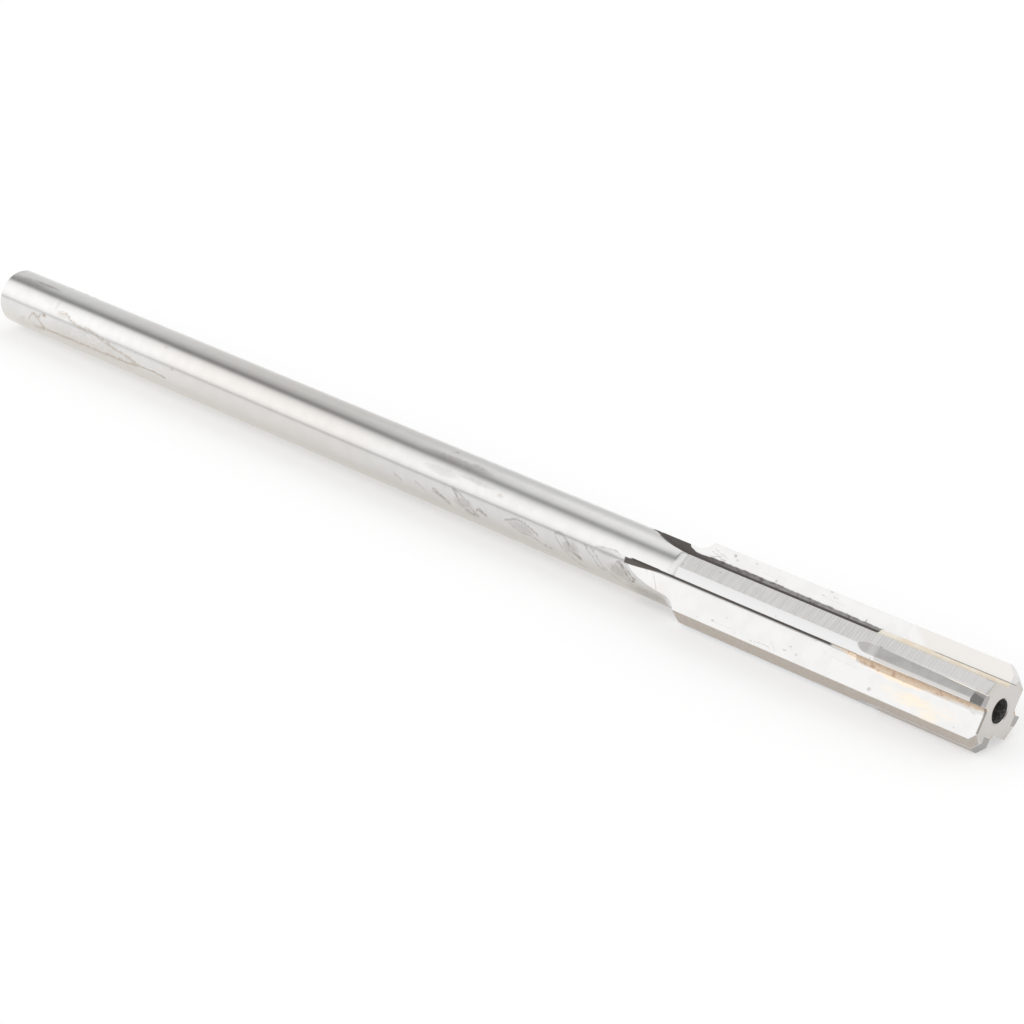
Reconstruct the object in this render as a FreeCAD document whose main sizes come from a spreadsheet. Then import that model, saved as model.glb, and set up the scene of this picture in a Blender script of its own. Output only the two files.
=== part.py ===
import FreeCAD, Part
import math
import os
import Sketcher
from FreeCAD import Placement, Rotation, Vector

# A straight-shank, straight-flute machine reamer with four brazed carbide tips.
# Every piece is built in the tool's own frame: X runs along the axis from the
# front face towards the shank, and blade 1 points along +Z with its rake face
# looking along +Y. The finished pieces are then laid down as the tool rests.

SIZES = [
    # alias, value in millimetres or degrees, what it is
    ("overall_length", 177.8, "front face to the end of the shank"),
    ("cutting_diameter", 10.312, "across the margins"),
    ("shank_diameter", 7.887, "plain cylindrical shank"),
    ("blade_length", 43.25, "front face to the rear of the lands"),
    ("shoulder_radius", 2.5, "concave shoulder behind the blades"),
    ("shank_chamfer", 0.8, "45 degree break at the shank's end"),
    ("rake_lead", 0.3, "rake faces stand this far ahead of centre"),
    ("back_offset", 2.68, "back walls stand this far behind centre"),
    ("root_radius", 0.5, "fillet along each flute's root"),
    ("flute_overrun", 0.05, "full depth of the flutes past the lands"),
    ("flute_wheel_radius", 30.0, "wheel that leaves the flute's runout"),
    ("margin_width", 1.22, "cylindrical margin on the steel land"),
    ("heel_drop", 0.3, "heels stand this far inside the cutting circle"),
    ("tip_margin", 0.42, "cylindrical margin left on the carbide"),
    ("tip_relief_angle", 15.5, "second relief ground over the carbide"),
    ("tip_relief_overrun", 1.4, "length of that relief behind the carbide"),
    ("tip_relief_wheel_radius", 8.0, "wheel that leaves that runout"),
    ("lead_length", 0.94, "length of the 45 degree lead at the cutting edge"),
    ("lead_facet_width", 0.86, "width of the lead's first facet"),
    ("lead_relief_angle", 8.0, "relief of the first facet"),
    ("lead_clearance_angle", 23.5, "relief of the second facet"),
    ("tip_length", 14.0, "carbide tip along the axis"),
    ("tip_front_thickness", 1.28, "carbide tip behind the rake face, in front"),
    ("tip_rear_thickness", 1.66, "carbide tip behind the rake face, at its rear"),
    ("tip_foot_height", 0.62, "flute floor to the underside of the carbide"),
    ("tip_corner_radius", 1.9, "rounded rear corner of the carbide's foot"),
    ("braze_gap", 0.1, "braze film between carbide and seat"),
    ("bead_clearance", 0.03, "braze bead stops this far under the carbide"),
    ("bead_run", 0.85, "bead's width on the neighbour's back wall"),
    ("bead_sag", 0.12, "hollow of the bead's face"),
    ("bead_overrun", 3.6, "length of the bead behind the carbide"),
    ("nose_hole_diameter", 2.85, "drilled hole in the front face"),
    ("nose_hole_depth", 8.0, "depth of its full diameter"),
    ("nose_hole_break", 0.1, "broken edge of its mouth"),
    ("drill_point_angle", 118.0, "included angle of both drilled ends"),
    ("centre_mouth_diameter", 3.0, "60 degree centre in the shank's end"),
    ("centre_angle", 60.0, "included angle of that centre"),
    ("centre_pilot_diameter", 1.2, "pilot hole of that centre"),
    ("centre_pilot_depth", 3.2, "shank's end to the bottom of the pilot"),
]

BLADES = 4
SPARE = 1.0  # cutting shapes reach this far past the metal

doc = FreeCAD.newDocument("machine_reamer")
sheet = doc.addObject("Spreadsheet::Sheet", "Sizes")
for row, (alias, value, note) in enumerate(SIZES, start=1):
    sheet.set(f"A{row}", alias)
    sheet.set(f"B{row}", str(value))
    sheet.set(f"C{row}", note)
    sheet.setAlias(f"B{row}", alias)
doc.recompute()


class Dim:
    """A dimension: what it measures now and the sheet expression that gives it."""

    def __init__(self, value, text):
        self.value = value
        self.text = text

    def __add__(self, other):
        other = as_dim(other)
        return Dim(self.value + other.value, f"({self.text} + {other.text})")

    def __sub__(self, other):
        other = as_dim(other)
        return Dim(self.value - other.value, f"({self.text} - {other.text})")

    def __mul__(self, other):
        other = as_dim(other)
        return Dim(self.value * other.value, f"({self.text} * {other.text})")

    def __truediv__(self, other):
        other = as_dim(other)
        return Dim(self.value / other.value, f"({self.text} / {other.text})")

    def __neg__(self):
        return Dim(-self.value, f"(0 - {self.text})")


def as_dim(number):
    return number if isinstance(number, Dim) else Dim(number, repr(float(number)))


def size(alias):
    return Dim(float(sheet.get(alias)), f"Sizes.{alias}")


def root(dim):
    return Dim(math.sqrt(dim.value), f"sqrt({dim.text})")


def sine(angle):
    return Dim(math.sin(math.radians(angle.value)), f"sin({angle.text})")


def cosine(angle):
    return Dim(math.cos(math.radians(angle.value)), f"cos({angle.text})")


def tangent(angle):
    return sine(angle) / cosine(angle)


def leg(hypotenuse, other):
    return root(hypotenuse * hypotenuse - other * other)


ZERO = as_dim(0.0)
past = as_dim(SPARE)

overall_length = size("overall_length")
cut_radius = size("cutting_diameter") / 2
shank_radius = size("shank_diameter") / 2
heel_radius = cut_radius - size("heel_drop")
blade_length = size("blade_length")
shoulder_radius = size("shoulder_radius")
rake_lead = size("rake_lead")
back_offset = size("back_offset")
braze_gap = size("braze_gap")
tip_foot = back_offset + size("tip_foot_height")
tip_length = size("tip_length")
tip_relief_length = tip_length + size("tip_relief_overrun")
bead_length = tip_length + size("bead_overrun")
tip_corner = size("tip_corner_radius")
flute_length = blade_length + size("flute_overrun")
outside = cut_radius + past

# Corners of blade 1 in the plane across the axis, as (y, z).
edge_z = leg(cut_radius, rake_lead)
margin_end_y = rake_lead - size("margin_width")
margin_end_z = leg(cut_radius, margin_end_y)
heel_z = leg(heel_radius, back_offset)


# ---------------------------------------------------------------- sketching


def origin_feature(body, role):
    for feature in body.Origin.OriginFeatures:
        if feature.Role == role:
            return feature
    raise ValueError(f"no origin feature {role}")


def new_sketch(body, name, role, offset=None, turn=None):
    """A sketch on an origin plane, moved along its normal or turned about X."""
    sketch = body.newObject("Sketcher::SketchObject", name)
    sketch.AttachmentSupport = (origin_feature(body, role), [""])
    sketch.MapMode = "FlatFace"
    if offset is not None:
        sketch.AttachmentOffset = Placement(Vector(0, 0, offset.value), Rotation())
        sketch.setExpression("AttachmentOffset.Base.z", offset.text)
    if turn is not None:
        sketch.AttachmentOffset = Placement(Vector(), Rotation(Vector(1, 0, 0), turn.value))
        sketch.setExpression("AttachmentOffset.Rotation.Angle", turn.text)
    return sketch


def hold(sketch, kind, dim, *where):
    """One dimension of a sketch, bound to the sheet."""
    index = sketch.addConstraint(Sketcher.Constraint(kind, *where, dim.value))
    name = f"{kind}_{index}"
    sketch.renameConstraint(index, name)
    sketch.setExpression(f"Constraints.{name}", dim.text)


def hold_point(sketch, edge, end, point):
    hold(sketch, "DistanceX", point[0], -1, 1, edge, end)
    hold(sketch, "DistanceY", point[1], -1, 1, edge, end)


def vector(point):
    return Vector(point[0].value, point[1].value, 0)


def arc_between(start, end, radius, bulge_left):
    """The minor arc from start to end, bulging left or right of its chord."""
    chord = end - start
    middle = (start + end) * 0.5
    left = Vector(-chord.y, chord.x, 0).normalize()
    side = 1 if bulge_left else -1
    reach = math.sqrt(radius**2 - (chord.Length / 2) ** 2)
    centre = middle - left * (side * reach)
    crown = centre + (middle - centre).normalize() * radius
    if reach < 1e-9:
        crown = centre + left * (side * radius)
    return Part.Arc(start, crown, end)


def outline(sketch, corners, arcs=None):
    """A closed outline; arcs maps an edge's number to (radius, bulge_left)."""
    arcs = arcs or {}
    count = len(corners)
    for edge in range(count):
        start = vector(corners[edge])
        end = vector(corners[(edge + 1) % count])
        if edge in arcs:
            radius, bulge_left = arcs[edge]
            sketch.addGeometry(arc_between(start, end, radius.value, bulge_left))
        else:
            sketch.addGeometry(Part.LineSegment(start, end))
    ends = {}
    for edge in range(count):
        geometry = sketch.Geometry[edge]
        forward = geometry.StartPoint.distanceToPoint(vector(corners[edge])) < 1e-6
        ends[edge] = (1, 2) if forward else (2, 1)
    for edge in range(count):
        following = (edge + 1) % count
        sketch.addConstraint(
            Sketcher.Constraint("Coincident", edge, ends[edge][1], following, ends[following][0])
        )
    for edge in range(count):
        hold_point(sketch, edge, ends[edge][0], corners[edge])
    for edge, (radius, _) in arcs.items():
        hold(sketch, "Radius", radius, edge)


def axis_line(sketch, start, end):
    """A construction line that a groove turns about."""
    index = sketch.addGeometry(Part.LineSegment(vector(start), vector(end)), True)
    hold_point(sketch, index, 1, start)
    hold_point(sketch, index, 2, end)


# ---------------------------------------------------------------- features


def pocket(body, name, sketch, towards_plus, length=None, both=False):
    cut = body.newObject("PartDesign::Pocket", name)
    cut.Profile = sketch
    cut.Reversed = towards_plus
    if length is None:
        cut.Type = "ThroughAll"
    else:
        cut.Type = "Length"
        cut.Midplane = both
        cut.setExpression("Length", length.text)
    sketch.Visibility = False
    return cut


def pad(body, name, sketch, length):
    boss = body.newObject("PartDesign::Pad", name)
    boss.Profile = sketch
    boss.setExpression("Length", length.text)
    sketch.Visibility = False
    return boss


def groove(body, name, sketch, axis, angle=None):
    cut = body.newObject("PartDesign::Groove", name)
    cut.Profile = sketch
    cut.ReferenceAxis = axis
    if angle is None:
        cut.Angle = 360
    else:
        cut.setExpression("Angle", angle)
    sketch.Visibility = False
    return cut


def runout_angle(depth, wheel_radius):
    """How far a wheel turns its section out of the metal, with some to spare."""
    rise = f"(1 - ({depth.text}) / ({wheel_radius.text}))"
    return f"acos({rise}) + 5 deg"


# ---------------------------------------------------------------- ground form
# Steel, carbide and braze are ground together, so one solid holds the finished
# outside of all three and is then divided along the seats.

form = doc.addObject("PartDesign::Body", "ground_form")

profile = new_sketch(form, "turned_profile", "XZ_Plane")
shoulder_drop = shoulder_radius - (cut_radius - shank_radius)
shoulder_end = blade_length + leg(shoulder_radius, shoulder_drop)
shank_face = shank_radius - size("shank_chamfer")
outline(
    profile,
    [
        (ZERO, ZERO),
        (ZERO, cut_radius),
        (blade_length, cut_radius),
        (shoulder_end, shank_radius),
        (overall_length - size("shank_chamfer"), shank_radius),
        (overall_length, shank_face),
        (overall_length, ZERO),
    ],
    arcs={2: (shoulder_radius, False)},
)
turned = form.newObject("PartDesign::Revolution", "turned_blank")
turned.Profile = profile
turned.ReferenceAxis = (profile, ["H_Axis"])
turned.Angle = 360
profile.Visibility = False


# Each flute is a square notch: a flat rake face, a flat floor that is the next
# blade's back wall, and a wheel's runout up through the shank.
def flute_section(name, with_axis):
    sketch = new_sketch(form, name, "YZ_Plane", offset=flute_length)
    root_radius = size("root_radius")
    outline(
        sketch,
        [
            (rake_lead, outside),
            (rake_lead, back_offset + root_radius),
            (rake_lead + root_radius, back_offset),
            (outside, back_offset),
            (outside, outside),
        ],
        arcs={1: (root_radius, False)},
    )
    if with_axis:
        wheel_axis_z = back_offset + size("flute_wheel_radius")
        axis_line(sketch, (outside, wheel_axis_z), (ZERO, wheel_axis_z))
    return sketch


flute = pocket(form, "flute", flute_section("flute_section", False), False)
runout_section = flute_section("flute_runout_section", True)
flute_runout = groove(
    form,
    "flute_runout",
    runout_section,
    (runout_section, ["Axis0"]),
    angle=runout_angle(shank_radius - back_offset, size("flute_wheel_radius")),
)

# The bead of braze that fills the root beside each tip, with a hollow face.
bead_rise = size("tip_foot_height") - size("bead_clearance")
bead_sag = size("bead_sag")
half_chord_squared = (bead_rise * bead_rise + size("bead_run") * size("bead_run")) / 4
bead_face_radius = half_chord_squared / (bead_sag * 2) + bead_sag / 2
bead_section = new_sketch(form, "bead_section", "YZ_Plane")
outline(
    bead_section,
    [
        (rake_lead, back_offset),
        (rake_lead, back_offset + bead_rise),
        (rake_lead + size("bead_run"), back_offset),
    ],
    arcs={1: (bead_face_radius, False)},
)
bead = pad(form, "braze_bead", bead_section, bead_length)

# The land behind the margin falls away in one flat to the heel. The cut runs on
# past the heel, to clear the back wall where the flute's runout lifts it.
land_fall = (margin_end_z - heel_z) / (margin_end_y + back_offset)
land_section = new_sketch(form, "land_relief_section", "YZ_Plane")
outline(
    land_section,
    [
        (margin_end_y, margin_end_z),
        (-(back_offset + past), heel_z - land_fall * past),
        (-(back_offset + past), outside),
        (margin_end_y, outside),
    ],
)
land_relief = pocket(
    form, "land_relief", land_section, True, length=blade_length + shoulder_radius
)


# The second relief is ground over the carbide and runs out behind it.
def tip_relief_section(name, with_axis):
    sketch = new_sketch(form, name, "YZ_Plane", offset=tip_relief_length)
    angle = size("tip_relief_angle")
    fall = tangent(angle)
    start_y = rake_lead - size("tip_margin")
    start_z = leg(cut_radius, start_y)
    near_y = rake_lead
    near_z = start_z + (near_y - start_y) * fall
    far_y = -back_offset
    far_z = start_z + (far_y - start_y) * fall
    lift_y = sine(angle)
    lift_z = cosine(angle)
    outline(
        sketch,
        [
            (near_y, near_z),
            (near_y - lift_y, near_z + lift_z),
            (far_y - lift_y, far_z + lift_z),
            (far_y, far_z),
        ],
    )
    if with_axis:
        wheel = size("tip_relief_wheel_radius")
        axis_line(
            sketch,
            (near_y - lift_y * wheel, near_z + lift_z * wheel),
            (far_y - lift_y * wheel, far_z + lift_z * wheel),
        )
    return sketch


tip_relief = pocket(form, "tip_relief", tip_relief_section("tip_relief_section", False), False)
tip_runout_section = tip_relief_section("tip_relief_runout_section", True)
tip_runout = groove(
    form,
    "tip_relief_runout",
    tip_runout_section,
    (tip_runout_section, ["Axis0"]),
    angle=runout_angle(cut_radius - heel_radius, size("tip_relief_wheel_radius")),
)


# The 45 degree lead has two flats, the second with more relief than the first.
def lead_section(name, angle, hinge_y, hinge_z):
    """A flat through the front-face point (hinge_y, hinge_z), relieved by angle."""
    sketch = new_sketch(form, name, "XZ_Plane", turn=angle)
    height = (hinge_z - tangent(angle) * hinge_y) * cosine(angle)
    outline(
        sketch,
        [
            (-past, height - past),
            (outside, height + outside),
            (-past, height + outside),
        ],
    )
    return sketch


lead_foot_z = edge_z - size("lead_length")
facet_end_y = rake_lead - size("lead_facet_width")
facet_end_z = lead_foot_z + (facet_end_y - rake_lead) * tangent(size("lead_relief_angle"))
lead_facet = pocket(
    form,
    "lead_facet",
    lead_section("lead_facet_section", size("lead_relief_angle"), rake_lead, lead_foot_z),
    False,
    length=outside * 2,
    both=True,
)
lead_clearance = pocket(
    form,
    "lead_clearance",
    lead_section(
        "lead_clearance_section", size("lead_clearance_angle"), facet_end_y, facet_end_z
    ),
    False,
    length=outside * 2,
    both=True,
)

blades = form.newObject("PartDesign::PolarPattern", "four_blades")
blades.Originals = [
    flute,
    flute_runout,
    bead,
    land_relief,
    tip_relief,
    tip_runout,
    lead_facet,
    lead_clearance,
]
blades.Axis = (origin_feature(form, "X_Axis"), [""])
blades.Angle = 360
blades.Occurrences = BLADES
form.Tip = blades

# The drilled hole in the nose and the centre in the shank's end.
nose_radius = size("nose_hole_diameter") / 2
nose_break = size("nose_hole_break")
nose_bottom = size("nose_hole_depth")
drill_half_angle = size("drill_point_angle") / 2
nose_section = new_sketch(form, "nose_hole_section", "XZ_Plane")
outline(
    nose_section,
    [
        (-past, ZERO),
        (-past, nose_radius + nose_break),
        (ZERO, nose_radius + nose_break),
        (nose_break, nose_radius),
        (nose_bottom, nose_radius),
        (nose_bottom + nose_radius / tangent(drill_half_angle), ZERO),
    ],
)
groove(form, "nose_hole", nose_section, (nose_section, ["H_Axis"]))

mouth_radius = size("centre_mouth_diameter") / 2
pilot_radius = size("centre_pilot_diameter") / 2
cone_depth = (mouth_radius - pilot_radius) / tangent(size("centre_angle") / 2)
pilot_bottom = overall_length - size("centre_pilot_depth")
centre_section = new_sketch(form, "shank_centre_section", "XZ_Plane")
outline(
    centre_section,
    [
        (overall_length + past, ZERO),
        (overall_length + past, mouth_radius),
        (overall_length, mouth_radius),
        (overall_length - cone_depth, pilot_radius),
        (pilot_bottom, pilot_radius),
        (pilot_bottom - pilot_radius / tangent(drill_half_angle), ZERO),
    ],
)
groove(form, "shank_centre", centre_section, (centre_section, ["H_Axis"]))


# ---------------------------------------------------------------- seats and tips


def tip_block(name, gap):
    """The room of one tip, grown by a gap at its back, foot and rear."""
    block = doc.addObject("PartDesign::Body", name)
    plan = new_sketch(block, f"{name}_plan", "XY_Plane", offset=tip_foot - gap)
    front_back_y = rake_lead - size("tip_front_thickness") - gap
    rear_back_y = rake_lead - size("tip_rear_thickness") - gap
    spread = (front_back_y - rear_back_y) / tip_length
    outline(
        plan,
        [
            (-past, rake_lead + past),
            (-past, front_back_y + spread * past),
            (tip_length + gap, rear_back_y - spread * gap),
            (tip_length + gap, rake_lead + past),
        ],
    )
    pad(block, f"{name}_pad", plan, outside)
    side = new_sketch(block, f"{name}_corner", "XZ_Plane", offset=-(rake_lead + past))
    corner = tip_corner + gap
    rear = tip_length + gap
    foot = tip_foot - gap
    outline(
        side,
        [
            (rear - corner, foot),
            (rear, foot + corner),
            (rear + past, foot + corner),
            (rear + past, foot - past),
            (rear - corner, foot - past),
        ],
        arcs={0: (corner, False)},
    )
    pocket(block, f"{name}_corner_cut", side, False)
    return block


def add_bead_room(block, name):
    """The root beside the seat, which the bead fills down to the bare steel."""
    section = new_sketch(block, f"{name}_root", "YZ_Plane", offset=-past)
    top = tip_foot - size("bead_clearance") / 2
    outline(
        section,
        [
            (rake_lead, back_offset),
            (rake_lead, top),
            (rake_lead + size("bead_run") + past, top),
            (rake_lead + size("bead_run") + past, back_offset),
        ],
    )
    pad(block, f"{name}_root_pad", section, bead_length + past)


def turn_to_blade(block, blade):
    block.Placement = Placement(Vector(), Rotation(Vector(1, 0, 0), 360.0 / BLADES * blade))


def boolean(kind, name, base, tool):
    result = doc.addObject(kind, name)
    result.Base = base
    result.Tool = tool
    return result


# The tool lies on one cutting edge and the heel of the blade beside it. Those
# two corners give the roll about the axis and the axis's height.
rest_run = heel_z - rake_lead
rest_rise = edge_z - back_offset
rest_span = root(rest_run * rest_run + rest_rise * rest_rise)
axis_height = (rake_lead * rest_rise + edge_z * rest_run) / rest_span
middle = overall_length / 2
LIE_DOWN = (
    f"placement(vector({middle.text}; 0; {axis_height.text}); "
    f"rotation(180; 0; atan({(rest_rise / rest_run).text})))"
)


def lay_down(piece, label):
    piece.Label = label
    piece.setExpression("Placement", LIE_DOWN)
    return piece


tips = []
brazes = []
seats = []
for blade in range(BLADES):
    number = blade + 1
    tip_room = tip_block(f"tip_room_{number}", ZERO)
    turn_to_blade(tip_room, blade)
    braze_room = tip_block(f"braze_room_{number}", braze_gap)
    add_bead_room(braze_room, f"braze_room_{number}")
    turn_to_blade(braze_room, blade)
    seats.append(braze_room)
    tip = boolean("Part::Common", f"tip_solid_{number}", form, tip_room)
    tips.append(lay_down(tip, f"carbide_tip_{number}"))
    filled = boolean("Part::Common", f"filled_seat_{number}", form, braze_room)
    braze = boolean("Part::Cut", f"braze_solid_{number}", filled, tip_room)
    brazes.append(lay_down(braze, f"braze_{number}"))

all_seats = doc.addObject("Part::MultiFuse", "all_seats")
all_seats.Shapes = seats
steel = boolean("Part::Cut", "steel_solid", form, all_seats)
lay_down(steel, "reamer_body")

doc.recompute()

# ---------------------------------------------------------------- checks and files

for item in doc.Objects:
    if "Invalid" in item.State or "Error" in item.State:
        raise RuntimeError(f"{item.Name} failed: {item.State}")

pieces = [steel] + tips + brazes
for piece in pieces:
    shape = piece.Shape
    if shape.isNull() or not shape.isValid():
        raise RuntimeError(f"{piece.Label} has no valid shape")
    if len(shape.Solids) != 1:
        raise RuntimeError(f"{piece.Label} is {len(shape.Solids)} solids")

os.makedirs("parts", exist_ok=True)
for piece in pieces:
    piece.Shape.exportStep(f"parts/{piece.Label}.step")
    box = piece.Shape.BoundBox
    print(
        f"{piece.Label}: {piece.Shape.Volume:.3f} mm3, "
        f"x {box.XMin:.2f} to {box.XMax:.2f}, "
        f"y {box.YMin:.2f} to {box.YMax:.2f}, z {box.ZMin:.2f} to {box.ZMax:.2f}"
    )
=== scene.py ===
import math

import bpy
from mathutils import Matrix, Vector


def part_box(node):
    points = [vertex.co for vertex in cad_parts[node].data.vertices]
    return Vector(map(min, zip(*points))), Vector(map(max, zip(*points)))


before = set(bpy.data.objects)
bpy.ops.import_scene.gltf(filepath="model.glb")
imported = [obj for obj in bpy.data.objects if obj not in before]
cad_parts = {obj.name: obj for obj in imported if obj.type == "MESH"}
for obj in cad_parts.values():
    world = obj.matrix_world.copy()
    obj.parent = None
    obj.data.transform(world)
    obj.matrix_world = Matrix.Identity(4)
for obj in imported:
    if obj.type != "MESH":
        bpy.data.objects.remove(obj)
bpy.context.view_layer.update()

bodyLow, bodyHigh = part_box("reamer_body")

# The tool lies along X with its nose at +X. Patterns are drawn in the tool's own
# millimetres: along runs from the nose to the shank's end, lead points the way
# blade 1's rake face looks, and rise points out along blade 1.
tool = {
    "halfLength": bodyHigh.x * 1000,
    "axisHeight": (bodyLow.z + bodyHigh.z) * 500,
    "roll": 33.34,  # degrees between blade 1 and upright
    "shankRadius": 3.9435,
    "floorEdge": -83.6,  # degrees from a blade's centre back to its own flute's corner
    "bladeEnd": 43.3,
    "wheelRadius": 30.0,
    "rootRise": 2.68,
    "tipLength": 14.0,
    "hollowEnd": 17.4,
    "landNormal": (-0.5029, 0.8643),  # by lead and rise
    "landEdge": 4.83,  # a land's distance from the axis, and a margin's radius below,
    "marginRadius": 5.142,  # each taken just under the surface
    "marginLead": -0.90,
    "wallLead": -2.6,
    "shankStart": 45.2,
}


class Wire:
    # One output of a node, ready for sums.

    def __init__(self, finish, socket):
        self.finish = finish
        self.socket = socket

    def maths(self, operation, *others):
        return self.finish.node(
            "ShaderNodeMath", {"operation": operation}, dict(enumerate([self, *others]))
        )

    def __add__(self, other):
        return self.maths("ADD", other)

    __radd__ = __add__

    def __sub__(self, other):
        return self.maths("SUBTRACT", other)

    def __rsub__(self, other):
        return self.finish.node("ShaderNodeMath", {"operation": "SUBTRACT"}, {0: other, 1: self})

    def __mul__(self, other):
        return self.maths("MULTIPLY", other)

    __rmul__ = __mul__

    def __truediv__(self, other):
        return self.maths("DIVIDE", other)

    def __abs__(self):
        return self.maths("ABSOLUTE")

    # 0 at start and 1 at end, smooth between; start may be the larger.
    def fade(self, start, end):
        return self.finish.node(
            "ShaderNodeMapRange",
            {"interpolation_type": "SMOOTHSTEP"},
            {"Value": self, "From Min": start, "From Max": end},
        )

    def between(self, low, high, soft):
        return self.fade(low - soft, low + soft) * self.fade(high + soft, high - soft)

    def near(self, value, reach):
        return abs(self - value).fade(reach, 0)

    def most(self, other):
        return self.maths("MAXIMUM", other)


class Finish:
    # The node tree of one material or of the world.

    def __init__(self, owner):
        owner.use_nodes = True
        self.owner = owner
        self.tree = owner.node_tree
        self.tree.nodes.clear()

    def node(self, kind, settings=None, inputs=None, output=0):
        made = self.tree.nodes.new(kind)
        for name, value in (settings or {}).items():
            if name == "stops":
                self.setStops(made.color_ramp, value)
            elif name == "curve":
                self.setCurve(made.mapping, value)
            else:
                setattr(made, name, value)
        for name, value in (inputs or {}).items():
            if isinstance(value, Wire):
                self.tree.links.new(value.socket, made.inputs[name])
            else:
                made.inputs[name].default_value = value
        return Wire(self, made.outputs[output]) if made.outputs else made

    def setStops(self, ramp, stops):
        while len(ramp.elements) < len(stops):
            ramp.elements.new(0.5)
        for element, (place, value) in zip(ramp.elements, stops):
            element.position = place
            element.color = (value, value, value, 1)

    def setCurve(self, mapping, points):
        curve = mapping.curves[0]
        while len(curve.points) < len(points):
            curve.points.new(0.5, 0.5)
        for point, place in zip(curve.points, points):
            point.location = place
        mapping.update()

    # A number between first and second.
    def blend(self, share, first, second):
        return self.node("ShaderNodeMix", {"data_type": "FLOAT"}, {0: share, 2: first, 3: second})

    # A colour between first and second.
    def paint(self, share, first, second):
        colours = {}
        for place, colour in ((6, first), (7, second)):
            colours[place] = colour if isinstance(colour, Wire) else (*colour, 1)
        return self.node("ShaderNodeMix", {"data_type": "RGBA"}, {0: share, **colours}, output=2)

    def scale(self, colour, factor):
        return self.node(
            "ShaderNodeVectorMath", {"operation": "SCALE"}, {0: colour, "Scale": factor}
        )

    def point(self, x, y, z):
        return self.node("ShaderNodeCombineXYZ", {}, {0: x, 1: y, 2: z})

    def split(self, vector):
        node = self.tree.nodes.new("ShaderNodeSeparateXYZ")
        self.tree.links.new(vector.socket, node.inputs[0])
        return [Wire(self, output) for output in node.outputs]

    # Noise about 0.5, one speck about 1/scale wide.
    def grain(self, place, scale, detail=2.0, rough=0.5):
        return self.node(
            "ShaderNodeTexNoise",
            {"noise_dimensions": "3D"},
            {"Vector": place, "Scale": scale, "Detail": detail, "Roughness": rough},
        )

    # Follows points (run, value) as a smooth curve.
    def follow(self, run, points):
        start, stop = points[0][0], points[-1][0]
        values = [value for place, value in points]
        low = min(values)
        span = max(max(values) - low, 0.001)
        shape = [((place - start) / (stop - start), (value - low) / span) for place, value in points]
        share = (run - start) / (stop - start)
        return self.node("ShaderNodeFloatCurve", {"curve": shape}, {"Value": share}) * span + low

    # A thin line drawn through points (run, beside).
    def line(self, run, beside, width, points):
        start, stop = sorted((points[0][0], points[-1][0]))
        offset = abs(beside - self.follow(run, points))
        return offset.fade(width, 0.0) * run.between(start, stop, 0.15)

    # A soft oval spot.
    def spot(self, run, beside, place, reach):
        first = (run - place[0]) / reach[0]
        second = (beside - place[1]) / reach[1]
        return (first * first + second * second).fade(1.0, 0.0)

    def metal(self, colour, roughness, height=None, depth=0.0, metallic=1.0):
        inputs = {"Base Color": colour, "Roughness": roughness, "Metallic": metallic}
        if height is not None:
            inputs["Normal"] = self.node(
                "ShaderNodeBump", {}, {"Height": height, "Distance": depth, "Strength": 1.0}
            )
        surface = self.node("ShaderNodeBsdfPrincipled", {}, inputs)
        self.node("ShaderNodeOutputMaterial", {}, {"Surface": surface})


class ToolPlace:
    # Where a point of the tool is, in millimetres of the tool's own axes.

    def __init__(self, finish):
        here = finish.split(finish.node("ShaderNodeTexCoord", {}, {}, "Object"))
        self.along = tool["halfLength"] - here[0] * 1000
        up = here[2] * 1000 - tool["axisHeight"]
        sideways = here[1] * 1000
        cosine = math.cos(math.radians(tool["roll"]))
        sine = math.sin(math.radians(tool["roll"]))
        self.lead = up * sine - sideways * cosine
        self.rise = up * cosine + sideways * sine
        self.drop = self.rise * -1
        self.radius = (self.lead * self.lead + self.rise * self.rise).maths("SQRT")
        self.arc = self.drop.maths("ARCTAN2", self.lead) * tool["shankRadius"]
        self.place = finish.point(self.along, self.lead, self.rise)

        # Every blade turned onto blade 1, the blades numbered 0 to 3.
        quarter = math.radians(90)
        corner = math.radians(tool["floorEdge"])
        share = (self.lead.maths("ARCTAN2", self.rise) - corner) / quarter
        self.blade = (share + 4).maths("MODULO", 4).maths("FLOOR")
        angle = share.maths("FLOORED_MODULO", 1) * quarter + corner
        self.bladeLead = self.radius * angle.maths("SINE")
        self.bladeRise = self.radius * angle.maths("COSINE")

        # The faces of a blade.
        start = tool["shankStart"]
        self.onShank = self.along.fade(start, start + 0.5)
        self.onWall = self.bladeLead.fade(tool["wallLead"] + 0.1, tool["wallLead"])
        normalLead, normalRise = tool["landNormal"]
        self.landHeight = self.bladeRise * normalRise - self.bladeLead * -normalLead
        self.onBlade = self.along.fade(start + 0.4, start)
        outside = self.landHeight.fade(tool["landEdge"] - 0.03, tool["landEdge"]) * self.onBlade
        edge = tool["marginLead"]
        self.onLand = outside * self.bladeLead.fade(edge, edge - 0.04)
        outside = self.radius.fade(tool["marginRadius"] - 0.017, tool["marginRadius"])
        self.onMargin = outside * self.bladeLead.fade(edge - 0.04, edge)

    def onNumber(self, number):
        return self.blade.near(number, 0.5).fade(0.0, 0.5)


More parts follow.
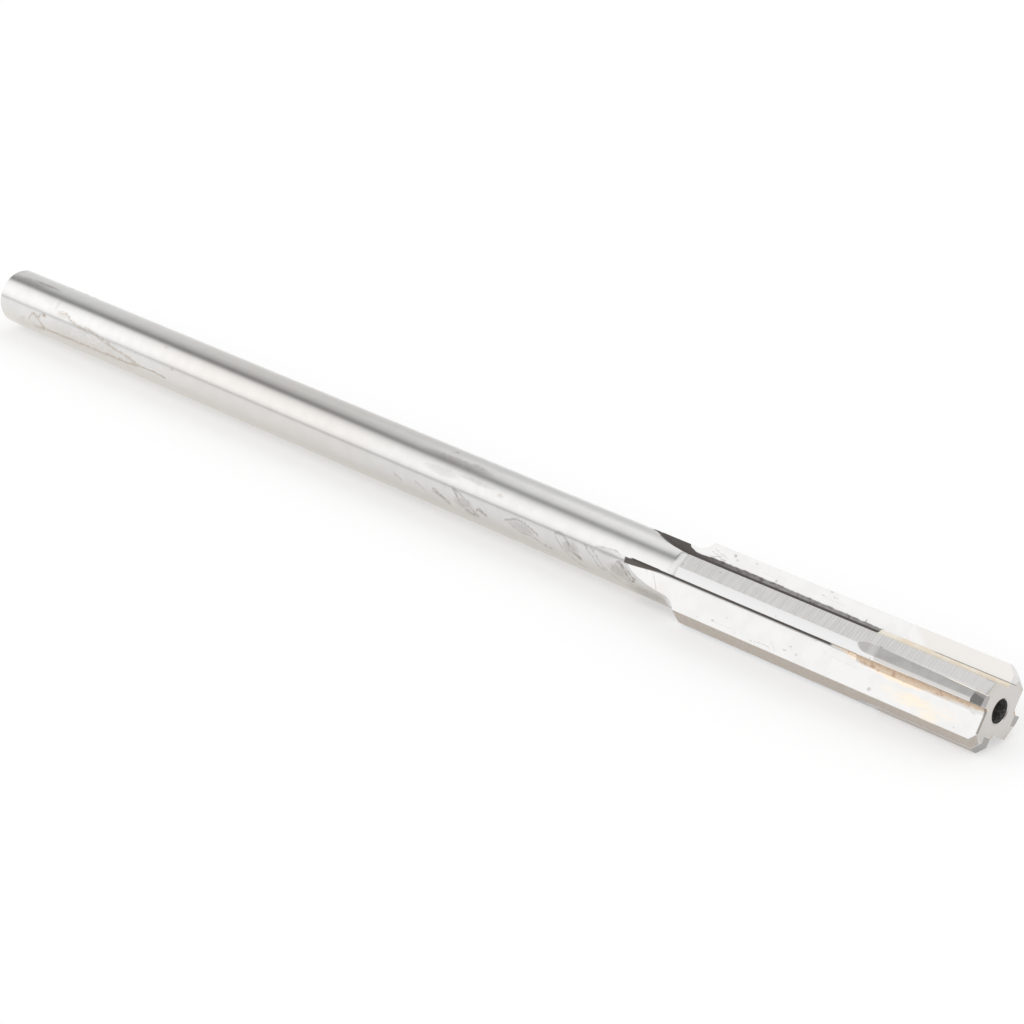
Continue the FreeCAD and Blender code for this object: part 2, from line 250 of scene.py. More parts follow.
# Marks on the steel: each is (width, strength, points), its points (along, arc) on the shank and
# (along, drop) on the blades.
marks = {
    "oil": [
        (0.42, 0.50, [(163.1, 0.2), (161.8, 0.0), (160.5, 0.5), (158.0, 0.9), (155.0, 0.95),
                      (152.0, 1.5), (149.5, 1.9), (147.0, 2.2), (145.3, 2.6), (144.0, 2.8)]),
        (0.36, 0.35, [(158.5, 0.8), (156.0, 0.75), (153.5, 1.1), (151.0, 1.4)]),
        (0.20, 0.75, [(145.0, 2.75), (143.0, 2.8), (141.0, 2.8), (138.6, 2.95)]),
        (0.46, 0.55, [(168.0, 3.55), (164.0, 3.4), (160.0, 3.38), (154.0, 3.3), (149.0, 3.2),
                      (146.5, 3.1), (145.3, 2.95), (144.0, 2.75)]),
        (0.40, 0.50, [(170.3, 3.0), (169.8, 2.4), (169.0, 1.85), (168.3, 1.8), (167.8, 2.2),
                      (167.2, 2.8), (166.3, 3.4)]),
        (0.34, 0.55, [(168.6, 2.2), (167.6, 1.9), (167.0, 1.3), (166.5, 1.2)]),
        (0.40, 0.40, [(169.4, 3.4), (168.4, 3.8), (167.0, 3.8)]),
        (0.28, 0.35, [(172.4, 2.9), (171.8, 3.2), (171.2, 3.0)]),
    ],
    "oilSpots": [
        (0.16, (139.8, -1.3), (0.6, 0.30)),
        (0.25, (137.1, 1.2), (0.5, 0.30)),
        (0.65, (166.5, 1.35), (0.6, 0.40)),
        (0.25, (162.4, 0.1), (1.8, 0.60)),
        (0.14, (156.0, 2.4), (12.0, 1.60)),
        (0.75, (166.4, -5.35), (0.9, 0.30)),
        (0.75, (164.6, -5.35), (0.6, 0.28)),
        (0.75, (162.9, -5.35), (0.8, 0.28)),
        (0.75, (160.9, -5.35), (0.7, 0.28)),
        (0.22, (73.5, -0.3), (0.7, 0.40)),
        (0.50, (84.3, -3.9), (0.5, 0.25)),
    ],
    "grime": [
        (0.34, 0.30, [(92.0, 2.4), (91.2, 2.6), (90.5, 3.0)]),
        (0.34, 0.28, [(88.0, 2.3), (87.0, 2.5), (86.2, 2.9)]),
        (0.50, 0.60, [(84.8, 2.3), (84.0, 2.5), (83.2, 2.7), (82.4, 3.1), (81.6, 3.3)]),
        (0.36, 0.62, [(81.4, 1.1), (80.6, 1.6), (79.9, 2.3), (79.0, 2.9), (78.0, 3.3), (76.8, 3.2)]),
        (0.26, 0.50, [(81.2, 1.2), (79.8, 1.4), (78.6, 2.0), (77.7, 2.7), (76.8, 3.1)]),
        (0.50, 0.45, [(79.0, 3.2), (77.8, 3.5), (76.4, 3.3)]),
        (0.40, 0.65, [(76.9, 3.0), (76.4, 2.4), (75.8, 2.5), (75.0, 2.8)]),
        (0.28, 0.50, [(71.8, 2.3), (70.8, 1.9), (69.3, 1.6), (67.8, 1.8), (66.8, 2.1), (66.0, 2.5)]),
        (0.26, 0.38, [(71.4, 2.1), (70.4, 2.6), (68.8, 3.0), (67.2, 2.9), (65.8, 3.3), (63.8, 3.5)]),
        (0.24, 0.35, [(70.6, 1.6), (69.2, 2.2), (67.8, 2.6), (66.8, 2.6)]),
        (0.34, 0.50, [(63.4, 1.1), (62.4, 1.0), (61.6, 1.3), (61.0, 1.8)]),
        (0.46, 0.72, [(61.4, 1.5), (60.8, 2.0), (60.1, 2.6), (59.4, 2.9), (58.7, 3.3)]),
        (0.24, 0.38, [(63.2, 1.5), (62.0, 2.6), (60.8, 3.3), (59.4, 4.0), (58.0, 4.3)]),
        (0.28, 0.42, [(58.6, 0.9), (57.8, 1.5), (56.8, 2.1), (56.0, 2.9), (55.0, 3.3)]),
        (0.26, 0.38, [(57.4, 1.1), (56.4, 1.7), (55.4, 2.6), (54.4, 3.2), (52.6, 3.9)]),
        (0.30, 0.55, [(54.0, 2.8), (53.4, 2.2), (52.9, 1.5), (52.3, 1.8), (51.8, 2.3)]),
        (0.44, 0.75, [(52.7, 1.4), (51.9, 1.9), (51.3, 2.6), (50.7, 3.1), (50.0, 3.1)]),
        (0.36, 0.60, [(51.4, 1.9), (50.9, 2.2), (50.4, 2.7), (49.8, 2.8)]),
        (0.30, 0.35, [(53.0, 2.6), (51.6, 3.3), (50.2, 3.9)]),
        (0.26, 0.35, [(56.8, 0.9), (55.6, 0.5), (54.2, 0.35), (52.6, 0.5)]),
    ],
    "grimeSpots": [
        (0.32, (79.2, 2.4), (2.2, 0.9)),
        (0.28, (68.8, 2.3), (2.6, 0.8)),
        (0.34, (60.6, 2.2), (1.8, 0.9)),
        (0.38, (52.4, 2.4), (2.2, 1.1)),
        (0.42, (48.0, 4.5), (4.5, 1.5)),
        (0.16, (54.8, 0.9), (2.4, 0.6)),
        (0.20, (84.0, -0.4), (4.0, 0.7)),
        (0.20, (78.0, -0.8), (4.0, 0.4)),
        (0.40, (82.5, -2.4), (7.5, 0.7)),
        (0.35, (79.5, -2.7), (2.5, 0.6)),
        (0.55, (169.6, -3.2), (4.2, 0.34)),
        (0.40, (172.5, -2.6), (4.6, 0.8)),
        (0.12, (164.3, -0.9), (0.6, 1.4)),
    ],
    "bladeLines": [
        (0.11, 0.50, [(48.0, 0.8), (47.4, 1.6), (47.0, 2.2), (46.6, 2.7)]),
        (0.16, 0.40, [(49.6, 0.72), (49.0, 0.85), (48.6, 1.25)]),
        (0.12, 0.35, [(28.9, 2.9), (28.5, 3.2), (28.1, 3.6)]),
        (0.10, 0.30, [(30.8, 3.65), (29.8, 3.5), (28.9, 3.6)]),
        (0.08, 0.15, [(37.6, 3.5), (36.2, 3.35), (34.8, 3.4)]),
        (0.14, 0.45, [(43.4, -3.75), (42.7, -3.6), (42.1, -3.8), (41.4, -3.6), (40.8, -3.7)]),
        (0.12, 0.35, [(43.2, -4.1), (42.6, -4.0), (42.0, -3.9), (41.5, -4.1)]),
        (0.16, 0.25, [(43.0, -4.5), (41.8, -4.2), (40.6, -3.9)]),
        (0.07, 0.18, [(35.6, -4.1), (34.2, -4.0), (32.9, -4.05)]),
        (0.07, 0.15, [(26.4, -4.0), (24.8, -4.15), (23.2, -4.1)]),
        (0.07, 0.12, [(22.0, 1.6), (19.5, 1.75), (17.0, 1.8)]),
        # A painted shade line where the shoulder meets the shank.
        (0.13, 0.40, [(45.50, -1.7), (45.44, -0.6), (45.40, 0.28)]),
    ],
    "bladeSpots": [
        (0.65, (39.9, -4.65), (0.35, 0.26)),
        (0.40, (39.4, -4.25), (0.30, 0.20)),
        (0.65, (33.2, -3.68), (0.30, 0.22)),
        (0.45, (26.5, -4.30), (0.40, 0.16)),
        (0.40, (25.6, -5.00), (0.30, 0.16)),
        (0.35, (24.8, -4.55), (0.50, 0.14)),
        (0.75, (19.9, -3.50), (0.18, 0.26)),
        (0.30, (36.6, -4.7), (0.25, 0.14)),
        (0.45, (37.6, 3.30), (0.30, 0.16)),
        (0.25, (31.6, 3.70), (0.30, 0.14)),
        (0.45, (14.6, 3.40), (0.36, 0.30)),
        (0.35, (26.9, 3.10), (0.40, 0.16)),
        (0.35, (25.2, 3.10), (0.30, 0.16)),
        (0.30, (26.3, 2.45), (0.35, 0.16)),
        (0.30, (23.6, 0.80), (0.40, 0.12)),
        (0.35, (38.0, -2.15), (0.25, 0.14)),
        (0.30, (32.8, -2.0), (0.25, 0.12)),
        (0.30, (43.0, -1.3), (0.25, 0.12)),
        (0.28, (1.4, 1.0), (0.8, 0.55)),
        (0.60, (17.7, 0.5), (0.30, 0.20)),
        (0.45, (11.0, 0.8), (0.30, 0.20)),
        (0.45, (9.5, 0.9), (0.25, 0.18)),
    ],
    # The pale gilt of the heated wall.
    "giltSpots": [
        (1.00, (8.6, 2.75), (5.0, 1.10)),
        (0.90, (6.4, 3.40), (1.9, 1.35)),
        (0.65, (4.8, 2.70), (2.8, 0.95)),
        (0.65, (11.4, 2.60), (3.2, 0.75)),
    ],
}

steel = {
    "bright": (0.705, 0.700, 0.693),
    "dull": (0.680, 0.674, 0.666),
    "warm": (0.640, 0.590, 0.525),
    # A painted highlight for the shoulders.
    "shoulder": (0.860, 0.855, 0.850),
    "margin": (0.650, 0.645, 0.645),
    "land": (0.800, 0.792, 0.782),
    "landDark": (0.700, 0.692, 0.682),
    "brownLand": (0.560, 0.505, 0.445),
    "relief": (0.500, 0.485, 0.480),
    "face": (0.640, 0.620, 0.595),
    "residueAndShade": (0.130, 0.116, 0.106),
    "thinResidue": (0.420, 0.412, 0.405),
    "oil": (0.330, 0.235, 0.130),
    "grime": (0.230, 0.195, 0.165),
    "gilt": (0.780, 0.700, 0.590),
    "flux": (0.870, 0.705, 0.545),
    "scorch": (0.450, 0.280, 0.180),
    "shankRoughness": 0.20,
    "wallRoughness": 0.24,
    "landRoughness": 0.58,
    "marginRoughness": 0.18,
    "shoulderRoughness": 0.50,
    "facetRoughness": 0.65,
    "residueRoughness": 0.60,
    "linePitch": 0.42,  # of the grinding lines across a land
    "lineLean": -0.05,
    "grindDepth": 0.0000010,
    "landDepth": 0.0000030,
}

# How far down the braze and its stain run on the wall of blade 3, by along.
brazeSpread = [
    (21.4, 0.30), (19.5, 0.55), (17.6, 0.85), (15.0, 1.12), (13.0, 1.32), (11.0, 1.38),
    (9.0, 1.18), (7.0, 1.0), (4.0, 0.85), (1.5, 0.72), (0.0, 0.55),
]

# How far out the dark residue in a root reaches on the rake face, by along.
residueReach = [
    (17.2, 3.25), (22.0, 3.34), (30.0, 3.42), (40.0, 3.44), (43.0, 3.38), (44.8, 3.3),
    (45.7, 3.42), (46.3, 3.7), (46.8, 4.3), (52.0, 5.2),
]


# The ragged lower edge of the braze and its stain.
def brazeLimit(finish, here):
    edge = finish.grain(here.place, 1.1, 3.0) * 0.5 - 0.25
    return finish.follow(here.along, brazeSpread) + edge


# Where the stain lies on the steel of the wall.
def brazeStain(finish, here):
    limit = brazeLimit(finish, here)
    onWall = here.lead.fade(2.2, 2.5) * here.drop.fade(0.28, 0.34) * here.along.fade(21.4, 20.6)
    return (here.drop - limit).fade(0.32, -0.16) * onWall


def drawSpots(finish, run, beside, kind):
    mask = None
    for strength, place, reach in marks[kind]:
        each = finish.spot(run, beside, place, reach) * strength
        mask = each if mask is None else mask.most(each)
    return mask


def drawLines(finish, run, beside, kind):
    mask = None
    for width, strength, points in marks[kind]:
        each = finish.line(run, beside, width, points) * strength
        mask = each if mask is None else mask.most(each)
    return mask


# Ground steel, warmer about the shank's middle, and warmer and darker on the underside as a painted
# reflection of the shaded floor.
def steelWithUndersideReflection(finish, here, cloud):
    colour = finish.paint(cloud.fade(0.35, 0.65), steel["bright"], steel["dull"])
    # The underside's warmer, darker tone is a painted reflection of the floor.
    underside = here.arc.fade(1.0, 6.0) * 0.75
    middle = abs(here.along - 118).fade(40, 10) * 0.3
    warmth = underside.most(middle) * here.onShank
    colour = finish.paint(warmth, colour, steel["warm"])
    return finish.scale(colour, here.along.fade(70, 170) * 0.11 + 1)


# Lines ground across the lands, leaning a little.
def landLines(finish, here, speck):
    acrossLand = here.along - here.bladeLead * steel["lineLean"]
    wander = finish.grain(
        finish.point(acrossLand * 1.3, here.bladeLead * 0.25, here.blade * 9), 1.0, 2.0
    )
    wave = (acrossLand * (2 * math.pi / steel["linePitch"]) + wander * 7).maths("SINE")
    scored = finish.grain(
        finish.point(acrossLand * 3.2, here.bladeLead * 0.35, here.blade * 5), 1.0, 2.0, 0.6
    )
    regular = here.along.fade(30, 18) * 0.26 + 0.10
    return wave * regular + (scored - 0.5) * 2.6 + (speck - 0.5) * 0.5


# The curved shoulder where a blade comes down to the shank, where a highlight is painted.
def shoulderMask(here):
    end = tool["bladeEnd"]
    shoulder = here.along.between(end + 0.05, end + 2.05, 0.05) * here.bladeLead.fade(0.28, 0.24)
    return shoulder * here.radius.fade(3.955, 3.985) * (1 - here.onWall)


# The slanted facet at the front of each blade.
def facetMask(here):
    return here.along.fade(0.96, 0.90) * here.landHeight.fade(4.0, 4.2) * (1 - here.onWall)


# The lands and margins of the blades, browner and darker on the two blades underneath as a painted
# reflection of the shaded floor.
def paintBlades(finish, here, colour, groundLines, brown):
    landShade = groundLines.fade(-0.6, 0.6) * (here.along.fade(3, 16) * 0.5 + 0.5)
    land = finish.paint(landShade, steel["land"], steel["landDark"])
    land = finish.paint(brown, land, steel["brownLand"])
    colour = finish.paint(here.onLand, colour, land)
    return finish.paint(here.onMargin * here.onBlade, colour, steel["margin"])


# The grey hollow ground behind each carbide.
def paintHollow(finish, here, colour):
    hollow = here.radius.fade(tool["marginRadius"], tool["marginRadius"] - 0.022)
    hollow = hollow * here.landHeight.fade(4.845, 4.825) * here.bladeLead.between(-1.7, -0.1, 0.03)
    hollow = hollow * here.bladeRise.fade(4.0, 4.3)
    hollow = hollow * here.along.between(tool["tipLength"] - 0.1, tool["hollowEnd"], 0.1)
    hollowShade = here.along.near(14.7, 0.9) * 0.6
    shade = finish.paint(hollowShade, steel["relief"], steel["margin"])
    return finish.paint(hollow, colour, shade)


# The facets, and the end face with its browner rim.
def paintNose(finish, here, colour, facet, brown, cloud):
    facetShade = finish.paint(brown, steel["land"], steel["brownLand"])
    colour = finish.paint(facet, colour, facetShade)
    face = here.along.fade(0.05, 0.02)
    rim = (here.radius.fade(2.6, 5.0) * 0.7).most(here.radius.fade(1.9, 1.5) * 0.5)
    rim = rim * cloud.fade(0.35, 0.6)
    return finish.paint(face, colour, finish.paint(rim, steel["face"], steel["brownLand"]))


# Oil and grime left on the shank by handling.
def handlingMarks(finish, here, smear, flutter):
    drawnArc = here.arc + smear * 0.45 + (flutter - 0.5) * 0.5
    patchy = flutter.fade(0.30, 0.62) * 0.75 + 0.25
    oil = drawLines(finish, here.along, drawnArc, "oil")
    oil = oil.most(drawSpots(finish, here.along, drawnArc, "oilSpots")) * patchy * here.onShank
    grime = drawLines(finish, here.along, drawnArc, "grime") * patchy
    grime = grime.most(drawSpots(finish, here.along, drawnArc, "grimeSpots") * (patchy * 0.4 + 0.6))
    grime = grime * here.onShank * here.radius.fade(3.86, 3.91)
    return oil, grime, patchy


# Scuffs on the faces of the blades that look outwards, and a painted shade line where one shoulder
# meets the shank.
def bladeScuffsAndShadeLine(finish, here, smear, flutter):
    drawnDrop = here.drop + smear * 0.15 + (flutter - 0.5) * 0.2
    facing = here.lead.fade(0.1, 0.2) * here.along.fade(50.5, 49.8)
    scuffsAndShadeLine = drawLines(finish, here.along, drawnDrop, "bladeLines")
    scuffsAndShadeLine = scuffsAndShadeLine.most(drawSpots(finish, here.along, drawnDrop, "bladeSpots"))
    return scuffsAndShadeLine, facing


# Braze stain, the gilt of the heated wall, and a painted dark reflection of the small bevel at its
# front edge.
def paintHeat(finish, here, colour, smear):
    flux = brazeStain(finish, here)
    scorched = flux * finish.grain(here.place, 1.6, 2.0).fade(0.56, 0.72) * 0.7
    colour = finish.paint(flux, colour, finish.paint(scorched, steel["flux"], steel["scorch"]))
    wall = here.lead.fade(2.4, 2.6)
    gilt = drawSpots(finish, here.along, here.drop + smear * 0.8, "giltSpots").maths("POWER", 1.7)
    streaks = finish.grain(finish.point(here.along * 0.5, here.lead, here.rise * 4), 1.0, 3.0)
    gilt = gilt * (streaks.fade(0.32, 0.62) * 0.65 + 0.35) * wall
    colour = finish.paint(gilt, colour, steel["gilt"])
    # A painted dark reflection of the bevel at the wall's front end, in the grime colour.
    bevelReflection = here.along.fade(0.22, 0.10) * here.drop.between(0.5, 3.2, 0.1) * wall
    return finish.paint(bevelReflection * 0.85, colour, steel["grime"])


# Residue in the roots of the flutes, up into their runouts, with painted shade in the corner: its
# mask and its colour.
# It is thinner and greyer towards the carbide, and black in the corner itself, which is painted
# shade.
def rootResidueAndShade(finish, here, ragged):
    runout = (here.along - tool["bladeEnd"]).maths("MAXIMUM", 0)
    rootRise = runout * runout / (2 * tool["wheelRadius"])
    reach = finish.follow(here.along, residueReach) + (ragged - 0.5) * 0.30
    onRakeRoot = (here.bladeRise - reach).fade(0.09, -0.07) * here.bladeLead.fade(0.24, 0.28)
    onRakeRoot = onRakeRoot * here.along.between(tool["hollowEnd"], 51.0, 0.3)
    cornerWidth = here.along.fade(46, 52) * 0.54 + 0.60
    onWallRoot = (here.bladeRise - cornerWidth).fade(0.06, -0.06)
    onWallRoot = onWallRoot * (here.bladeLead + rootRise).fade(-2.4, -2.5)
    onWallRoot = onWallRoot * (here.along + here.onNumber(1) * 3.8).fade(21.0, 21.6)
    onWallRoot = onWallRoot * here.along.fade(52.1, 51.8) * here.bladeRise.fade(0.28, 0.31)
    root = onRakeRoot.most(onWallRoot) * here.radius.fade(5.12, 5.08)
    height = here.bladeRise - rootRise - tool["rootRise"]
    # Black in the corner itself: painted shade.
    corner = height.fade(0.22, 0.04)
    thin = here.along.fade(47, 32) * ragged.fade(0.74, 0.46) * 0.85 * (1 - corner) * onRakeRoot
    thin = thin.most(here.along.fade(24, 18) * onRakeRoot * (1 - corner) * 0.8)
    return root, finish.paint(thin, steel["residueAndShade"], steel["thinResidue"])


def steelFinish():
    finish = Finish(bpy.data.materials.new("groundSteel"))
    here = ToolPlace(finish)
    cloud = finish.grain(here.place, 0.5, 3.0)
    speck = finish.grain(here.place, 6.0, 2.0)
    smear = finish.grain(here.place, 0.9, 2.0) - 0.5
    flutter = finish.grain(here.place, 2.6, 3.0)
    ragged = finish.grain(
        finish.point(here.along * 1.3, here.lead * 2.4, here.rise * 2.4), 1.0, 4.0
    )

    # The clean metal, with a painted reflection of the floor on the underside and on the blades
    # underneath, and a painted highlight on the shoulders.
    colour = steelWithUndersideReflection(finish, here, cloud)
    groundLines = landLines(finish, here, speck)
    # Browner on blades 2 and 3, underneath: a painted reflection of the shaded floor beneath them.
    brown = here.onNumber(2).most(here.onNumber(3)) * (speck.fade(0.2, 0.7) * 0.4 + 0.6)
    # A painted highlight on the shoulders.
    shoulder = shoulderMask(here)
    colour = finish.paint(shoulder, colour, steel["shoulder"])
    colour = paintBlades(finish, here, colour, groundLines, brown)
    colour = paintHollow(finish, here, colour)
    facet = facetMask(here)
    colour = paintNose(finish, here, colour, facet, brown, cloud)

    # What use and heat have left on it, with painted shade in the root corners, a painted dark
    # reflection at the wall's front edge, and a painted shade line where a shoulder meets the shank.
    oil, grime, patchy = handlingMarks(finish, here, smear, flutter)
    colour = finish.paint(oil, colour, steel["oil"])
    colour = finish.paint(grime, colour, steel["grime"])
    scuffsAndShadeLine, facing = bladeScuffsAndShadeLine(finish, here, smear, flutter)
    colour = finish.paint(scuffsAndShadeLine * patchy * facing, colour, steel["grime"])
    pits = finish.node(
        "ShaderNodeTexVoronoi", {}, {"Vector": here.place, "Scale": 0.9}, "Distance"
    )
    pits = pits.fade(0.10, 0.05) * cloud.fade(0.46, 0.6) * here.onBlade
    colour = finish.paint(pits * 0.35, colour, steel["grime"])
    colour = paintHeat(finish, here, colour, smear)
    root, residueAndShade = rootResidueAndShade(finish, here, ragged)
    # Root residue, with painted shade in its corners.
    colour = finish.paint(root * 0.97, colour, residueAndShade)

    # The bores at the tool's two ends, darkened and mottled inside as painted shade.
    bore = here.radius.fade(1.45, 1.40) * here.along.fade(0.02, 0.1)
    borePaintedShade = finish.paint(flutter.fade(0.42, 0.60), steel["residueAndShade"], steel["face"])
    colour = finish.paint(bore, colour, borePaintedShade)

    rough = finish.blend(here.onShank, steel["wallRoughness"], steel["shankRoughness"])
    rough = finish.blend(here.onLand, rough, steel["landRoughness"])
    rough = finish.blend(here.onMargin * here.onBlade, rough, steel["marginRoughness"])
    rough = finish.blend(shoulder, rough, steel["shoulderRoughness"])
    rough = finish.blend(facet, rough, steel["facetRoughness"])
    rough = finish.blend(root.most(bore), rough, steel["residueRoughness"])
    rough = rough + (oil.most(grime) * 0.15) + (speck - 0.5) * 0.05

    # Turned rings on the shank, long scratches on the blades, and the land's own lines.
    turned = finish.grain(finish.point(here.along * 5, here.lead * 0.2, here.rise * 0.2), 1.0, 3.0)
    drawn = finish.grain(finish.point(here.along * 0.15, here.lead * 7, here.rise * 7), 1.0, 3.0)
    height = finish.blend(here.onShank, drawn, turned) + flutter * 0.5
    height = finish.blend(here.onLand, height, groundLines * steel["landDepth"] / steel["grindDepth"])
    height = height - (pits + root * ragged) * 6
    finish.metal(colour, rough, height, steel["grindDepth"])
    return finish.owner


carbide = {
    "bright": (0.665, 0.645, 0.622),
    "polished": (0.700, 0.695, 0.688),
    "relief": (0.480, 0.475, 0.467),
    "reliefDark": (0.425, 0.420, 0.412),
    "margin": (0.540, 0.525, 0.510),
    "facet": (0.420, 0.412, 0.400),
    "lightFacet": (0.750, 0.738, 0.722),
    "brown": (0.500, 0.455, 0.410),
    "roughness": 0.22,
    "grindDepth": 0.0000008,
}

braze = {
    "gold": (0.910, 0.800, 0.655),
    "pale": (0.960, 0.900, 0.790),
    "brown": (0.640, 0.450, 0.310),
    "flush": (0.700, 0.693, 0.685),
    "hollow": (0.520, 0.508, 0.500),
    "steelSide": (0.960, 0.950, 0.935),
    "dark": (0.250, 0.230, 0.215),
    "roughness": 0.42,
}


def carbideFinish():
    finish = Finish(bpy.data.materials.new("carbide"))
    here = ToolPlace(finish)
    fine = finish.grain(finish.point(here.along * 3, here.lead * 1.5, here.rise * 1.5), 1.0, 3.0)
    cloud = finish.grain(here.place, 0.7, 2.0)
    onRake = here.bladeLead.fade(0.20, 0.26)
    colour = finish.paint(cloud.fade(0.3, 0.7), carbide["relief"], carbide["reliefDark"])
    colour = finish.paint(here.onMargin, colour, carbide["margin"])
    # Browner on blades 2 and 3, underneath: a painted reflection of the shaded floor beneath them.
    brown = here.onNumber(2).most(here.onNumber(3))
    colour = finish.paint(brown, colour, carbide["brown"])
    # Braze and polish smeared over the rake's far corner.
    smear = (here.along - here.bladeRise * 1.21 - 7.5 + (cloud - 0.5) * 1.2).fade(-1.0, 0.8)
    rake = finish.paint(smear, carbide["bright"], carbide["polished"])
    colour = finish.paint(onRake, colour, rake)
    facet = here.along.fade(0.97, 0.93) * here.bladeLead.fade(0.26, 0.20)
    facetShade = finish.paint(here.onNumber(0), carbide["facet"], carbide["lightFacet"])
    colour = finish.paint(facet, colour, facetShade)
    rough = finish.blend(onRake, 0.26, carbide["roughness"]) + (fine - 0.5) * 0.08
    finish.metal(colour, rough, fine, carbide["grindDepth"])
    return finish.owner


def brazeFinish():
    finish = Finish(bpy.data.materials.new("braze"))
    here = ToolPlace(finish)
    cloud = finish.grain(finish.point(here.along * 0.8, here.lead, here.rise), 1.0, 3.0)
    fleck = finish.grain(here.place, 1.6, 2.0)

    fresh = cloud.fade(0.40, 0.75).most(here.along.fade(14.2, 15.6))
    gold = finish.paint(fresh, braze["gold"], braze["pale"])
    onRake = here.bladeLead.fade(-1.2, -1.0)
    golden = onRake.most(here.onNumber(1))
    # On the wall it turns brown towards the root and thins out to the steel.
    covered = (here.bladeRise - brazeLimit(finish, here)).fade(0.32, -0.16)
    wall = finish.paint(fleck.fade(0.50, 0.68), steel["flux"], braze["brown"])
    wall = finish.paint(here.bladeRise.fade(0.95, 0.5) * 0.45, wall, braze["brown"])
    wall = finish.paint(covered, braze["steelSide"], wall)
    # A painted dark reflection of the bevel at the wall's front end.
    bevelReflection = here.along.fade(0.22, 0.10) * here.lead.fade(1.8, 2.2)
    wall = finish.paint(bevelReflection * 0.8, wall, braze["dark"])
    colour = finish.paint(golden, wall, gold)

    # A dark line where it meets the carbide's rake face.
    top = 3.24 + here.along.fade(8, 16) * 0.16
    line = abs(here.bladeRise - top).fade(0.09, 0.03) * here.along.fade(11.0, 9.5)
    colour = finish.paint(line * onRake * 0.8, colour, braze["dark"])
    above = (here.bladeRise - top).fade(0.02, 0.08) * onRake
    colour = finish.paint(above * here.along.fade(12, 10), colour, carbide["bright"])

    # Where it is ground flush it is grey, but for a gold line by the nose of a land.
    flush = here.bladeRise.fade(3.58, 3.64)
    nose = here.along.fade(5.2, 4.0) * here.bladeLead.fade(-0.90, -0.96) * here.onNumber(1)
    hollow = here.bladeLead.fade(0.10, 0.0) * here.along.fade(13.5, 13.9)
    flushShade = finish.paint(hollow, braze["flush"], braze["hollow"])
    colour = finish.paint(flush, colour, finish.paint(nose, flushShade, braze["pale"]))
    rough = finish.blend(flush, braze["roughness"], 0.24)
    finish.metal(colour, rough, cloud * (1 - flush), 0.00001, finish.blend(flush, 0.3, 1.0))
    return finish.owner


def dress(node, material):
    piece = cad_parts[node]
    piece.data.materials[0] = material


print("marks and finishes")
dress("reamer_body", steelFinish())
carbideMaterial = carbideFinish()
brazeMaterial = brazeFinish()
for number in range(1, 5):
    dress(f"carbide_tip_{number}", carbideMaterial)
    dress(f"braze_{number}", brazeMaterial)

floor = {
    "size": 6.0,
    "diffuse": (0.63, 0.63, 0.63),
    "glow": (0.425, 0.425, 0.425),
}


def layFloor():
    bpy.ops.object.select_all(action="DESELECT")
    bpy.ops.mesh.primitive_plane_add(size=floor["size"], location=(0, 0, 0))
    piece = bpy.context.object
    piece.name = "studioFloor"
    finish = Finish(bpy.data.materials.new("paleFloor"))
    seen = finish.node("ShaderNodeLightPath", {}, {}, "Is Camera Ray")
    for ray in ("Is Glossy Ray", "Is Transmission Ray"):
        seen = seen.most(finish.node("ShaderNodeLightPath", {}, {}, ray))
    surface = finish.node(
        "ShaderNodeBsdfPrincipled",
        {},
        {
            "Base Color": (*floor["diffuse"], 1),
            "Roughness": 1.0,
            "Specular IOR Level": 0.0,
            "Emission Color": finish.paint(seen, (0, 0, 0), floor["glow"]),
            "Emission Strength": 1.0,
        },
    )
    finish.node("ShaderNodeOutputMaterial", {}, {"Surface": surface})
    piece.data.materials.append(finish.owner)


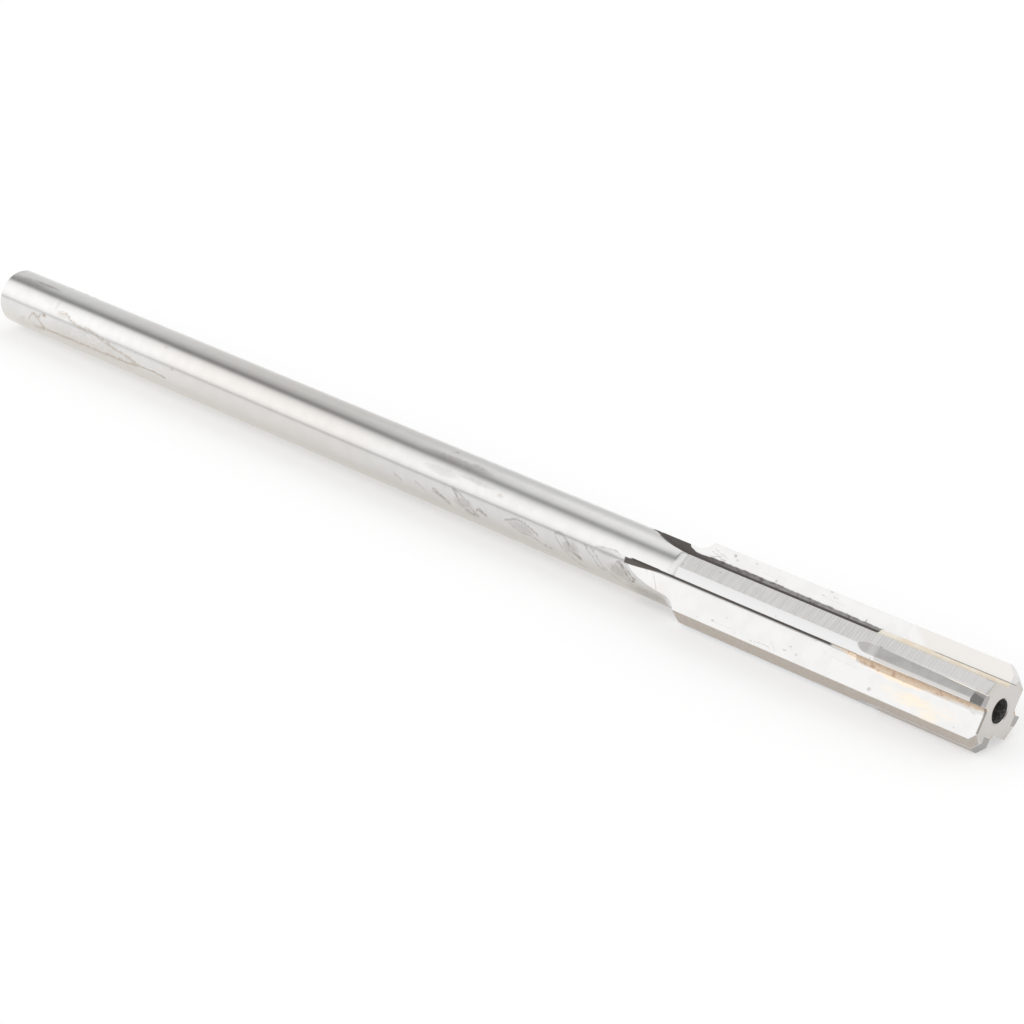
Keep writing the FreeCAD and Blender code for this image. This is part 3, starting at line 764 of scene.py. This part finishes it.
# Brightness of the studio by the angle round the tool's axis, from the back
# horizon (0) over the top (0.5) to the front horizon (1): one row for what stands
# beside the tool, one for what stands beyond its shank.
studio = {
    "beside": [
        (0.0, 0.93), (0.083, 0.77), (0.154, 0.77), (0.213, 0.85), (0.266, 1.02), (0.313, 1.17),
        (0.357, 1.20), (0.40, 1.15), (0.44, 1.03), (0.477, 0.84), (0.51, 0.52), (0.545, 0.36),
        (0.575, 0.54), (0.62, 0.84), (0.652, 1.05), (0.686, 1.20), (0.72, 1.30), (0.815, 1.36),
        (0.913, 1.26), (0.945, 1.1), (0.965, 0.75), (0.975, 0.42), (1.0, 0.40),
    ],
    "beyond": [
        (0.0, 0.86), (0.126, 0.80), (0.2, 0.76), (0.31, 0.72), (0.36, 0.67), (0.40, 0.60),
        (0.44, 0.49), (0.48, 0.35), (0.51, 0.23), (0.55, 0.21), (0.575, 0.42), (0.592, 0.66),
        (0.627, 1.0), (0.662, 1.12), (0.695, 1.18), (0.74, 1.26), (0.82, 1.31), (0.913, 1.22),
        (0.945, 1.05), (0.965, 0.80), (0.975, 0.60), (1.0, 0.58),
    ],
    "beyondFrom": (0.63, 0.69),
    "beyondTurn": 0.043,
    "endGlow": 0.95,
    "card": (0.868, -0.413, 0.273),
    "cardReach": 0.93,
    "cardDark": 0.36,
}


def lightStudio():
    world = bpy.data.worlds.new("studio")
    bpy.context.scene.world = world
    finish = Finish(world)
    towards = finish.node("ShaderNodeTexCoord", {}, {}, "Generated")
    ahead, back, up = finish.split(towards)
    share = up.maths("ARCTAN2", back) / math.pi
    beyond = (ahead * -1).fade(*studio["beyondFrom"])
    beside = finish.node("ShaderNodeValToRGB", {"stops": studio["beside"]}, {"Fac": share})
    turned = share + share.fade(0.9, 0.6) * studio["beyondTurn"]
    far = finish.node("ShaderNodeValToRGB", {"stops": studio["beyond"]}, {"Fac": turned})
    light = finish.blend(beyond, beside, far)
    light = finish.blend(abs(ahead).fade(0.79, 0.87), light, studio["endGlow"])
    facing = finish.node(
        "ShaderNodeVectorMath",
        {"operation": "DOT_PRODUCT"},
        {0: towards, 1: studio["card"]},
        "Value",
    )
    card = facing.fade(studio["cardReach"] - 0.03, studio["cardReach"] + 0.03)
    light = finish.blend(card, light, studio["cardDark"])
    background = finish.node("ShaderNodeBackground", {}, {"Color": light, "Strength": 1.0})
    finish.node("ShaderNodeOutputWorld", {}, {"Surface": background})


camera = {
    "azimuth": 45.35,
    "elevation": 24.97,
    "distance": 0.3552,
    "lookAt": (0.01437, 0.0, 0.0034),
    "lens": 100.5,
}


def setCamera():
    data = bpy.data.cameras.new("camera")
    data.lens = camera["lens"]
    data.sensor_width = 36
    data.clip_start = 0.01
    data.clip_end = 20
    viewer = bpy.data.objects.new("camera", data)
    bpy.context.scene.collection.objects.link(viewer)
    azimuth = math.radians(camera["azimuth"])
    elevation = math.radians(camera["elevation"])
    level = math.cos(elevation)
    back = Vector((math.sin(azimuth) * level, -math.cos(azimuth) * level, math.sin(elevation)))
    viewer.location = Vector(camera["lookAt"]) + back * camera["distance"]
    viewer.rotation_euler = back.to_track_quat("Z", "Y").to_euler()
    bpy.context.scene.camera = viewer


layFloor()
lightStudio()
print("studio")
setCamera()
print("camera")
bpy.context.scene.view_settings.view_transform = "Standard"
